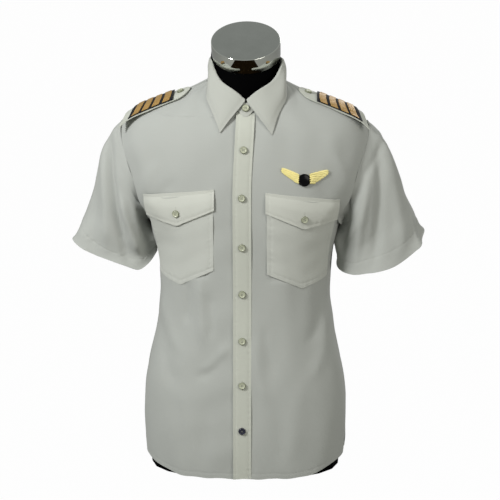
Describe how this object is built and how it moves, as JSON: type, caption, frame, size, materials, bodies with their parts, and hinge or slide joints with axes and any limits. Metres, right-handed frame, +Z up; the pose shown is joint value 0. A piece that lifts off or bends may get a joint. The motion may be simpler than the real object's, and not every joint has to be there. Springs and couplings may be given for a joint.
{
  "type": "short-sleeve pilot shirt on a limbless dress form",
  "caption": "Buttoned short-sleeve pilot shirt with shoulder boards, flapped chest pockets and a wing badge, worn by a black limbless dress form with a bright neck cap.",
  "frame": {"origin": "middle of the dress form's flat base, on the floor it stands on", "axes": "+Z up; the shirt's front and its buttons face -Y; the wearer's left is +X"},
  "size_m": [0.6558, 0.2454, 0.8306],
  "materials": {
    "shirt_cloth": "plain poplin weave, matt",
    "shirt_button": "pearly, four holes",
    "dark_button": "dark, four holes",
    "board_cloth": "black wool cloth on a stiff board",
    "gold_braid": "woven metallic braid",
    "gold_metal": "bright gold plate",
    "dark_enamel": "glossy dark enamel",
    "form_black": "satin black shell",
    "cap_chrome": "bright plated metal"
  },
  "bodies": {
    "root": {"back": "shirt_cloth", "yoke": "shirt_cloth", "placket": "shirt_cloth", "collar_stand": "shirt_cloth", "collar": "shirt_cloth", "front_left": "shirt_cloth", "sleeve_left": "shirt_cloth", "pocket_left": "shirt_cloth", "pocket_flap_left": "shirt_cloth", "epaulette_left": "shirt_cloth", "pocket_button_left": "shirt_button", "epaulette_button_left": "shirt_button", "board_left": "board_cloth", "board_left_bar_1": "gold_braid", "board_left_bar_2": "gold_braid", "board_left_bar_3": "gold_braid", "board_left_bar_4": "gold_braid", "badge_wing_left": "gold_metal", "front_right": "shirt_cloth", "sleeve_right": "shirt_cloth", "pocket_right": "shirt_cloth", "pocket_flap_right": "shirt_cloth", "epaulette_right": "shirt_cloth", "pocket_button_right": "shirt_button", "epaulette_button_right": "shirt_button", "board_right": "board_cloth", "board_right_bar_1": "gold_braid", "board_right_bar_2": "gold_braid", "board_right_bar_3": "gold_braid", "board_right_bar_4": "gold_braid", "badge_wing_right": "gold_metal", "button_1": "shirt_button", "button_2": "shirt_button", "button_3": "shirt_button", "button_4": "shirt_button", "button_5": "shirt_button", "button_6": "shirt_button", "button_7": "shirt_button", "button_8": "dark_button", "badge_disc": "dark_enamel", "form_torso": "form_black", "form_neck_cap": "cap_chrome"}
  },
  "joints": []
}
